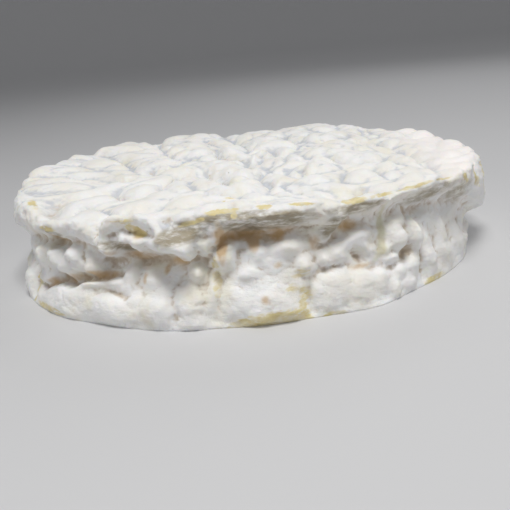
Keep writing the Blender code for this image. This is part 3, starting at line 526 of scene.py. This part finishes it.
def lump_height(angle, height, lumps):
    """Height of the lumps at each place on the wall, each one melting into its neighbours."""
    total = np.zeros_like(height)
    for lump in lumps:
        rise = LUMP_RAISE * lump[4] * np.exp(-(LUMP_FALL * spot_reach(angle, height, lump)) ** 1.5)
        total += rise ** LUMP_MELT
    return total ** (1 / LUMP_MELT)


def hollow_depth(angle, height, hollows):
    """Depth of all hollows together at each place on the wall."""
    depth = np.zeros_like(height)
    for centre, level, half_width, half_height, deepest in hollows:
        reach = (turn_from(angle, centre) / half_width) ** 2 + ((height - level) / half_height) ** 2
        depth += deepest * np.exp(-reach)
    return depth


def back_lumps():
    """Lumps of the unseen side, in rows, each one a little off its place and size."""
    random = np.random.default_rng(BACK_SEED)
    lumps = []
    for level, spacing, half_width, half_height in BACK_ROWS:
        for centre in np.arange(BACK_START, BACK_END, spacing):
            lumps.append((
                centre + random.uniform(-0.3, 0.3) * spacing,
                level + random.uniform(-0.0014, 0.0014),
                half_width * random.uniform(0.75, 1.35),
                half_height * random.uniform(0.75, 1.25),
                random.uniform(*BACK_RAISE),
                random.uniform(-40, 40)))
    return tuple(lumps)


def turned_body(collection):
    """The plain wheel: a closed profile from the top's centre down the wall to the base's centre.

    The points without names round the profile off between the named levels.
    """
    profile = (
        (0.0, TOP_HEIGHT), (0.030, TOP_HEIGHT), (0.050, TOP_HEIGHT), (RIM_REACH, RIM_HEIGHT),
        (0.0616, 0.0254), (LIP_REACH, LIP_HEIGHT), (0.0628, 0.0214), (EDGE_REACH, EDGE_HEIGHT),
        (0.0606, 0.0192), (UNDER_REACH, UNDER_HEIGHT), (0.0592, 0.0168),
        (WAIST_REACH, WAIST_HEIGHT), (0.0604, 0.0100), (0.0622, 0.0070),
        (BELLY_REACH, BELLY_HEIGHT), (0.0627, 0.0024), (0.0623, 0.0006),
        (BASE_REACH, 0.0), (0.030, 0.0), (0.0, 0.0))
    mesh = bpy.data.meshes.new(NAME)
    shape = bmesh.new()
    corners = [shape.verts.new((reach, 0, height)) for reach, height in profile]
    for first, second in zip(corners, corners[1:]):
        shape.edges.new((first, second))
    shape.to_mesh(mesh)
    shape.free()
    wheel = bpy.data.objects.new(NAME, mesh)
    collection.objects.link(wheel)
    screw = wheel.modifiers.new("turn", "SCREW")
    screw.steps = TURN_STEPS
    screw.render_steps = TURN_STEPS
    screw.use_merge_vertices = True
    screw.merge_threshold = 0.00001
    apply_modifiers(wheel)
    return wheel


def apply_modifiers(item):
    evaluated = item.evaluated_get(bpy.context.evaluated_depsgraph_get())
    mesh = bpy.data.meshes.new_from_object(evaluated)
    old_mesh = item.data
    item.modifiers.clear()
    item.data = mesh
    bpy.data.meshes.remove(old_mesh)
    mesh.name = NAME


def remesh(item, voxel):
    modifier = item.modifiers.new("even_mesh", "REMESH")
    modifier.mode = "VOXEL"
    modifier.voxel_size = voxel
    apply_modifiers(item)


def soften(item, factor, passes):
    modifier = item.modifiers.new("soften", "SMOOTH")
    modifier.factor = factor
    modifier.iterations = passes
    apply_modifiers(item)


def thin_out(item, triangles):
    modifier = item.modifiers.new("fewer_faces", "DECIMATE")
    item.data.calc_loop_triangles()
    modifier.ratio = min(1.0, triangles / len(item.data.loop_triangles))
    apply_modifiers(item)


def read_mesh(mesh):
    """Places and normals of all vertices as two arrays."""
    places = np.empty(len(mesh.vertices) * 3)
    normals = np.empty(len(mesh.vertices) * 3)
    mesh.vertices.foreach_get("co", places)
    mesh.vertices.foreach_get("normal", normals)
    return places.reshape(-1, 3), normals.reshape(-1, 3)


def write_mesh(mesh, places):
    mesh.vertices.foreach_set("co", places.ravel())
    mesh.update()


def angle_of(places):
    return np.degrees(np.arctan2(places[:, 0], -places[:, 1]))


def drum_height(places):
    """Height at which a view from above the front sees each place against a plain drum.

    Heights of spots and lines are given this way, so that hollow and bulging parts keep them.
    """
    return places[:, 2] + VIEW_SLOPE * (DRUM_REACH - np.hypot(places[:, 0], places[:, 1]))


def wander_levels(mesh):
    """Move the levels of the turned body to where they lie at each angle."""
    places, _ = read_mesh(mesh)
    angle = angle_of(places)
    reach = np.hypot(places[:, 0], places[:, 1])
    level_heights = [height for height, _, _, _ in LEVELS]
    move_out = np.zeros_like(angle)
    move_up = np.zeros_like(angle)
    for i, (level_height, level_reach, heights, reaches) in enumerate(LEVELS):
        weight = np.interp(places[:, 2], level_heights, np.eye(len(LEVELS))[i])
        own_reach = LIP_REACH if reaches is LIP_REACHES else level_reach
        move_out += weight * (around(reaches, angle) - own_reach)
        if heights:
            move_up += weight * (around(heights, angle) - own_height(heights, level_height))
    near_wall = ease(reach, 0.36 * BELLY_REACH, 0.92 * BELLY_REACH)
    scale = 1 + near_wall * move_out / np.maximum(reach, 0.001)
    places[:, 0] *= scale
    places[:, 1] *= scale
    places[:, 2] += near_wall * move_up
    write_mesh(mesh, places)


def own_height(heights, level_height):
    """The height that a list of heights replaces: the face under the lip follows the lip's edge."""
    return EDGE_HEIGHT if heights is EDGE_HEIGHTS else level_height


def wall_relief(places):
    """How far the wall stands out at each place, from lumps, folds, hollows and grooves."""
    bend = [BEND * waves(places, BEND_LENGTH, seed) for seed in (31, 32)]
    angle = angle_of(places) + bend[0] / ARC
    height = drum_height(places) + bend[1]
    relief = lump_height(angle, height, LUMPS + back_lumps())
    relief = np.maximum(relief, line_on_wall(angle, height, WALL_FOLDS))
    relief += WALL_RAISE * pillow_relief(places, WALL_LENGTH, 33) - WALL_SINK
    relief -= hollow_depth(angle, height, HOLLOWS)
    return relief - line_on_wall(angle, height, WALL_GROOVES)


def top_relief(places):
    """How far the top stands up at each place: pillows, long ones on the left, and grooves."""
    flat = places[:, :2].copy()
    drawn = flat.copy()
    left = flat[:, 0] < DRAWN_OUT_FROM
    drawn[left, 0] = DRAWN_OUT_FROM + (flat[left, 0] - DRAWN_OUT_FROM) / DRAWN_OUT_BY
    relief = PILLOW_RAISE * pillow_relief(drawn, PILLOW_LENGTH, 41)
    relief += DIMPLE_RAISE * pillow_relief(drawn, DIMPLE_LENGTH, 43)
    smooth = ease(flat[:, 0], SMOOTH_FROM, SMOOTH_TO)
    relief *= 1 - SMOOTH_SHARE * smooth
    relief *= 1 - BACK_RIM_SHARE * ease(flat[:, 1], BACK_RIM_FROM, BACK_RIM_TO)
    relief += smooth * EDGE_SWELL_RAISE * pillow_relief(flat, EDGE_SWELL_LENGTH, 46)
    relief += SWELL_RAISE * waves(flat, SWELL_LENGTH, 42)
    bend = np.stack([TOP_BEND * waves(flat, TOP_BEND_LENGTH, seed) for seed in (44, 45)], axis=1)
    return relief - TOP_GROOVE_DEPTH * line_height(flat + bend, TOP_GROOVES, TOP_GROOVE_POWER)


def raise_relief(mesh):
    """Push every vertex out by the relief of the top, the wall and the rim."""
    places, normals = read_mesh(mesh)
    on_top = ease(normals[:, 2], *TOP_FACING)
    off_base = ease(places[:, 2], *WALL_START)
    angle, height = angle_of(places), drum_height(places)
    on_wall = (1 - on_top) * off_base * (1 - ease(height, *WALL_END))
    relief = on_top * top_relief(places) + on_wall * wall_relief(places)
    relief += line_on_wall(angle, height, RIM_FOLDS) - line_on_wall(angle, height, RIM_GROOVES)
    write_mesh(mesh, places + normals * relief[:, None])


def flatten_base(mesh):
    """Cut the underside off level, close it with one flat face and set it at height zero."""
    shape = bmesh.new()
    shape.from_mesh(mesh)
    everything = shape.verts[:] + shape.edges[:] + shape.faces[:]
    bmesh.ops.bisect_plane(
        shape, geom=everything, plane_co=(0, 0, BASE_CUT), plane_no=(0, 0, 1), clear_inner=True)
    rim = [edge for edge in shape.edges if edge.is_boundary]
    bmesh.ops.holes_fill(shape, edges=rim)
    bmesh.ops.translate(shape, verts=shape.verts[:], vec=(0, 0, -BASE_CUT))
    for vertex in shape.verts:
        if vertex.co.z < BASE_CUT / 4:
            vertex.co.z = 0.0
    bmesh.ops.triangulate(shape, faces=shape.faces[:])
    bmesh.ops.recalc_face_normals(shape, faces=shape.faces[:])
    shape.to_mesh(mesh)
    shape.free()


def centre_box(mesh):
    """Put the middle of the box, in X and Y, over the origin."""
    places, _ = read_mesh(mesh)
    middle = (places.min(axis=0) + places.max(axis=0)) / 2
    places[:, :2] -= middle[:2]
    write_mesh(mesh, places)


def raise_fine_folds(mesh):
    places, normals = read_mesh(mesh)
    relief = np.zeros(len(places))
    flattened = places * (1, 1, FINE_FOLD_FLATNESS)
    for length, stand_out, seed in FINE_FOLDS:
        relief += stand_out * pillow_relief(flattened, length, seed)
    relief *= ease(places[:, 2], BASE_CUT, 3 * BASE_CUT)
    on_top = ease(normals[:, 2], *FINE_TOP_FACING)
    relief *= 1 - (1 - FINE_FOLDS_ON_TOP) * on_top
    relief *= 1 + (FINE_FOLDS_ON_LIP - 1) * (1 - on_top) * ease(drum_height(places), *LIP_EDGE)
    write_mesh(mesh, places + normals * relief[:, None])


def spread_out(mesh, values, passes):
    """Average every vertex's value with its neighbours', in a number of passes."""
    pairs = np.empty(len(mesh.edges) * 2, dtype=np.int32)
    mesh.edges.foreach_get("vertices", pairs)
    starts, ends = pairs.reshape(-1, 2).T
    count = len(mesh.vertices)
    links = np.bincount(starts, minlength=count) + np.bincount(ends, minlength=count)
    for _ in range(passes):
        sums = np.bincount(starts, values[ends], count) + np.bincount(ends, values[starts], count)
        values = 0.4 * values + 0.6 * sums / np.maximum(links, 1)
    return values


def depth_below(mesh, passes):
    """How far each vertex lies below the mesh smoothed in these passes; hollows are positive."""
    places, normals = read_mesh(mesh)
    smooth = np.stack([spread_out(mesh, places[:, i], passes) for i in range(3)], axis=1)
    return ((smooth - places) * normals).sum(axis=1)


def write_attribute(mesh, name, values):
    attribute = mesh.attributes.new(name, "FLOAT", "POINT")
    attribute.data.foreach_set("value", values.astype(np.float32))


def spot_strength(angle, height, spots):
    """Strength of the strongest spot at each place, fading evenly to 0 at its outline."""
    strength = np.zeros_like(height)
    for spot in spots:
        fade = np.clip(1 - spot_reach(angle, height, spot), 0, 1)
        strength = np.maximum(strength, spot[4] * fade)
    return strength


def mark_rind(mesh):
    """Write what the material needs to know of each place as attributes of the mesh."""
    places, normals = read_mesh(mesh)
    angle, height = angle_of(places), drum_height(places)
    on_top = ease(normals[:, 2], *FINE_TOP_FACING) * ease(places[:, 2], *COLOURED_TOP_HEIGHT)
    write_attribute(mesh, "on_top", on_top)
    # Hollow and crease depths, which set where the material paints shade.
    write_attribute(mesh, "hollow", depth_below(mesh, WIDE_PASSES) / WIDE_DEPTH)
    write_attribute(mesh, "crease", depth_below(mesh, FINE_PASSES) / FINE_DEPTH)
    write_attribute(mesh, "worn", spot_strength(angle, height, WORN_PLACES))
    # Ochre marks: partly real stains, partly painted shade under the lip and in creases.
    write_attribute(mesh, "stain_and_shade", spot_strength(angle, height, STAIN_AND_SHADE_PLACES))
    # Dark band marks: a crusted rind that is also painted shade on the lip's face and the wall
    # below it.
    write_attribute(mesh, "crust_and_shade", spot_strength(angle, height, CRUST_AND_SHADE_PLACES))
    write_attribute(mesh, "drip", line_on_wall(angle, height, DRIPS))
    write_attribute(mesh, "top_worn", on_top * line_height(places[:, :2], TOP_WORN))
    write_attribute(mesh, "rosy", on_top * ease(places[:, 0], *ROSY_EDGE))


def make_rind():
    """The wheel's surface: turned, wandered, remeshed, wrinkled, cut level, centred and marked."""
    wheel = turned_body(bpy.context.scene.collection)
    wander_levels(wheel.data)
    remesh(wheel, BODY_VOXEL)
    soften(wheel, 0.5, 3)
    raise_relief(wheel.data)
    remesh(wheel, RIND_VOXEL)
    soften(wheel, 0.5, 3)
    raise_fine_folds(wheel.data)
    flatten_base(wheel.data)
    thin_out(wheel, TRIANGLES)
    centre_box(wheel.data)
    mark_rind(wheel.data)
    wheel.data.shade_smooth()
    return wheel


def add_node(tree, kind, inputs, **settings):
    """A new node whose inputs are set, by name or number, to values or joined to sockets."""
    node = tree.nodes.new(kind)
    for name, value in settings.items():
        setattr(node, name, value)
    for name, value in inputs.items():
        if isinstance(value, bpy.types.NodeSocket):
            tree.links.new(value, node.inputs[name])
        else:
            node.inputs[name].default_value = value
    return node


def mark(tree, name):
    return add_node(tree, "ShaderNodeAttribute", {}, attribute_name=name).outputs["Fac"]


def grain(tree, size, detail=2.0, stretch=(1, 1, 1)):
    """Noise of 0 to 1 with features of a size in metres, drawn out where stretch is small."""
    place = add_node(tree, "ShaderNodeTexCoord", {}).outputs["Object"]
    place = add_node(tree, "ShaderNodeMapping", {"Vector": place, "Scale": stretch}).outputs[0]
    inputs = {"Vector": place, "Scale": 1 / size, "Detail": detail, "Roughness": 0.6}
    return add_node(tree, "ShaderNodeTexNoise", inputs).outputs["Fac"]


def reckon(tree, operation, first, second):
    node = add_node(tree, "ShaderNodeMath", {0: first, 1: second}, operation=operation)
    return node.outputs[0]


def times(tree, first, second):
    return reckon(tree, "MULTIPLY", first, second)


def plus(tree, first, second):
    return reckon(tree, "ADD", first, second)


def share(tree, value, low, high, most=1.0):
    """A value turned into a share: 0 at low and the most at high, smooth between."""
    inputs = {"Value": value, "From Min": low, "From Max": high, "To Min": 0.0, "To Max": most}
    node = add_node(
        tree, "ShaderNodeMapRange", inputs, interpolation_type="SMOOTHSTEP", clamp=True)
    return node.outputs["Result"]


def blend(tree, factor, first, second):
    """The first colour turned into the second one by a factor."""
    inputs = {0: factor, 6: first, 7: second}
    return add_node(tree, "ShaderNodeMix", inputs, data_type="RGBA").outputs[2]


def ragged(tree, name, noise, low, high, roughness):
    """A mark with a ragged outline: its strength, swung by noise, cut off between low and high."""
    swing = times(tree, reckon(tree, "SUBTRACT", noise, 0.5), roughness)
    swung = times(tree, mark(tree, name), plus(tree, swing, 1.0))
    return share(tree, swung, low, high)


def rind_colour(tree, worn):
    """White mould: painted shade in lavender in the top's valleys, taupe in hollows and brown in
    creases, ochre that is partly stains and partly painted shade under the lip, and yellow where it
    is worn.
    """
    middle = grain(tree, MIDDLE)
    on_top = mark(tree, "on_top")
    on_wall = reckon(tree, "SUBTRACT", 1.0, on_top)
    hollow = mark(tree, "hollow")
    crease = mark(tree, "crease")
    rosy = mark(tree, "rosy")

    colour = blend(tree, share(tree, grain(tree, COARSE), 0.42, 0.66), WHITE, CREAM)
    colour = blend(tree, share(tree, grain(tree, MOTTLE, 3.0), 0.52, 0.72, 0.45), colour, SALLOW)
    colour = blend(tree, rosy, colour, ROSY)
    # Painted shade: the top's valleys and creases are darkened to a cool lavender, and this fades
    # out on the rosy right rim.
    low_on_top = plus(tree, hollow, times(tree, crease, 0.7))
    valley_shade = times(tree, share(tree, low_on_top, -0.5, 1.2, 0.9), on_top)
    valley_shade = times(tree, valley_shade, share(tree, rosy, 1.0, 0.0))
    colour = blend(tree, valley_shade, colour, VALLEY_SHADE_LAVENDER)
    # Painted shade: hollows and creases of the wall are darkened to a warm taupe.
    low_on_wall = plus(tree, hollow, times(tree, crease, 0.5))
    deep_shade = times(tree, share(tree, low_on_wall, 0.1, 2.2, 0.85), on_wall)
    colour = blend(tree, deep_shade, colour, HOLLOW_SHADE_TAUPE)
    # Painted shade: narrow creases of the wall are darkened to brown. The same brown, in fine grain
    # at the end, makes real dark specks.
    thin_crease_shade = times(tree, share(tree, crease, 0.6, 2.4, 0.28), on_wall)
    colour = blend(tree, thin_crease_shade, colour, CREASE_SHADE_AND_SPECK_BROWN)
    # Ochre: partly real stains, partly painted shade under the lip and in creases.
    stain_and_shade = ragged(tree, "stain_and_shade", middle, 0.0, 0.95, 2.2)
    colour = blend(tree, times(tree, stain_and_shade, 0.8), colour, OCHRE_STAIN_AND_SHADE)
    # Dark specks of a crusted rind, which also paint shade on the lip's face as it turns under and
    # on the wall below it.
    specks = share(tree, streak_grain(tree), 0.24, 0.60, 0.95)
    crusted_shade = times(tree, ragged(tree, "crust_and_shade", middle, 0.0, 0.8, 2.0), specks)
    colour = blend(tree, crusted_shade, colour, CRUST_AND_SHADE)
    thinly = times(tree, worn, share(tree, middle, 0.30, 0.62, 0.5))
    thinly = plus(tree, thinly, times(tree, worn, 0.45))
    colour = blend(tree, thinly, colour, YELLOW)
    drip = ragged(tree, "drip", middle, 0.10, 0.70, 2.0)
    colour = blend(tree, times(tree, drip, 0.8), colour, GREENISH)
    return blend(tree, share(tree, grain(tree, FINE, 3.0), 0.62, 0.78, 0.10), colour, CREASE_SHADE_AND_SPECK_BROWN)


def streak_grain(tree):
    """Grain drawn out along the wall."""
    return grain(tree, STREAKS, 3.0, (0.45, 0.45, 1.6))


def worn_share(tree):
    """1 where the mould is worn off, on the wall or on the top, with ragged outlines."""
    streaks = streak_grain(tree)
    on_wall = ragged(tree, "worn", streaks, 0.20, 0.80, 4.0)
    return reckon(tree, "MAXIMUM", on_wall, ragged(tree, "top_worn", streaks, 0.20, 0.80, 4.0))


def rind_material():
    """Matt velvety mould, a little see-through, and smoother where it is worn."""
    material = bpy.data.materials.new("white_rind")
    material.use_nodes = True
    tree = material.node_tree
    shader = tree.nodes["Principled BSDF"]
    worn = worn_share(tree)
    tree.links.new(rind_colour(tree, worn), shader.inputs["Base Color"])
    roughness = plus(tree, times(tree, worn, WORN_ROUGHNESS - ROUGHNESS), ROUGHNESS)
    tree.links.new(roughness, shader.inputs["Roughness"])
    shader.inputs["Subsurface Weight"].default_value = 0.20
    shader.inputs["Subsurface Radius"].default_value = (1.0, 0.7, 0.4)
    shader.inputs["Subsurface Scale"].default_value = 0.0022
    shader.inputs["Sheen Weight"].default_value = 0.10
    shader.inputs["Sheen Roughness"].default_value = 0.5
    wrinkle = times(tree, grain(tree, WRINKLE, 3.0, (1, 1, 2.2)), 0.7)
    rough = plus(tree, wrinkle, times(tree, grain(tree, VELVET), 0.3))
    bump = add_node(
        tree, "ShaderNodeBump", {"Height": rough, "Strength": 0.55, "Distance": 0.0005})
    tree.links.new(bump.outputs["Normal"], shader.inputs["Normal"])
    return material


def studio_line():
    """The studio's cross-section, as reaches and heights from near the middle outwards."""
    line = [(FLOOR_REACH * part, 0.0) for part in (0.25, 0.5, 0.75, 1.0)]
    for turn in np.radians(np.arange(7.5, 91, 7.5)):
        reach = FLOOR_REACH + FLOOR_BEND * math.sin(turn)
        line.append((reach, FLOOR_BEND - FLOOR_BEND * math.cos(turn)))
    line.append((FLOOR_REACH + FLOOR_BEND, STUDIO_HEIGHT))
    return line


def make_studio():
    """A round pale floor that sweeps up into a wall all round the wheel."""
    shape = bmesh.new()
    middle = shape.verts.new((0, 0, 0))
    turns = np.linspace(0, 2 * math.pi, FLOOR_STEPS, endpoint=False)
    rings = [[shape.verts.new((reach * math.cos(turn), reach * math.sin(turn), height))
              for turn in turns] for reach, height in studio_line()]
    for i in range(FLOOR_STEPS):
        j = (i + 1) % FLOOR_STEPS
        shape.faces.new((middle, rings[0][i], rings[0][j]))
        for low, high in zip(rings, rings[1:]):
            shape.faces.new((low[i], high[i], high[j], low[j]))
    mesh = bpy.data.meshes.new("studio_floor")
    shape.to_mesh(mesh)
    shape.free()
    mesh.shade_smooth()
    mesh.materials.append(floor_material())
    floor = bpy.data.objects.new("studio_floor", mesh)
    bpy.context.scene.collection.objects.link(floor)
    return floor


def floor_material():
    """A pale floor with a faint glow, which keeps its far wall from going dark."""
    material = bpy.data.materials.new("pale_floor")
    material.use_nodes = True
    shader = material.node_tree.nodes["Principled BSDF"]
    shader.inputs["Base Color"].default_value = FLOOR_COLOUR
    shader.inputs["Roughness"].default_value = FLOOR_ROUGHNESS
    shader.inputs["Emission Color"].default_value = (1, 1, 1, 1)
    shader.inputs["Emission Strength"].default_value = FLOOR_GLOW
    return material


def make_light(name, place, size, power, colour):
    light = bpy.data.lights.new(name, "AREA")
    light.size = size
    light.energy = power
    light.color = colour
    item = bpy.data.objects.new(name, light)
    bpy.context.scene.collection.objects.link(item)
    item.location = place
    item.rotation_euler = (LIT_POINT - Vector(place)).to_track_quat("-Z", "Y").to_euler()


def make_lights():
    for light in LIGHTS:
        make_light(*light)
    world = bpy.data.worlds.new("studio_air")
    world.use_nodes = True
    background = world.node_tree.nodes["Background"]
    background.inputs["Color"].default_value = AIR_COLOUR
    background.inputs["Strength"].default_value = AIR_STRENGTH
    bpy.context.scene.world = world


def make_camera():
    lens = bpy.data.cameras.new("camera")
    lens.lens = CAMERA_LENS
    lens.sensor_width = SENSOR_WIDTH
    lens.clip_start = 0.005
    camera = bpy.data.objects.new("camera", lens)
    bpy.context.scene.collection.objects.link(camera)
    camera.matrix_world = (
        Matrix.Translation(CAMERA_PLACE)
        @ Matrix.Rotation(math.radians(90 - CAMERA_PITCH), 4, "X")
        @ Matrix.Rotation(math.radians(CAMERA_ROLL), 4, "Z"))
    bpy.context.scene.camera = camera


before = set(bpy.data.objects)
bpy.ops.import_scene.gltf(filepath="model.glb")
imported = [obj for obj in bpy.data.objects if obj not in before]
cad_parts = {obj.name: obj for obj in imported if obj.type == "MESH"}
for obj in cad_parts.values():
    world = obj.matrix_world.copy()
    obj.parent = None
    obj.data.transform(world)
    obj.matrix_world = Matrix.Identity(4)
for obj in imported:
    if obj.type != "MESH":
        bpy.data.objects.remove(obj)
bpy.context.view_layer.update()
make_camera()
make_lights()
bpy.context.scene.view_settings.view_transform = "Standard"
make_studio()

rind = make_rind()
rind.data.materials.clear()
rind.data.materials.append(rind_material())
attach(rind, "root")
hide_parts("cheese_wheel")
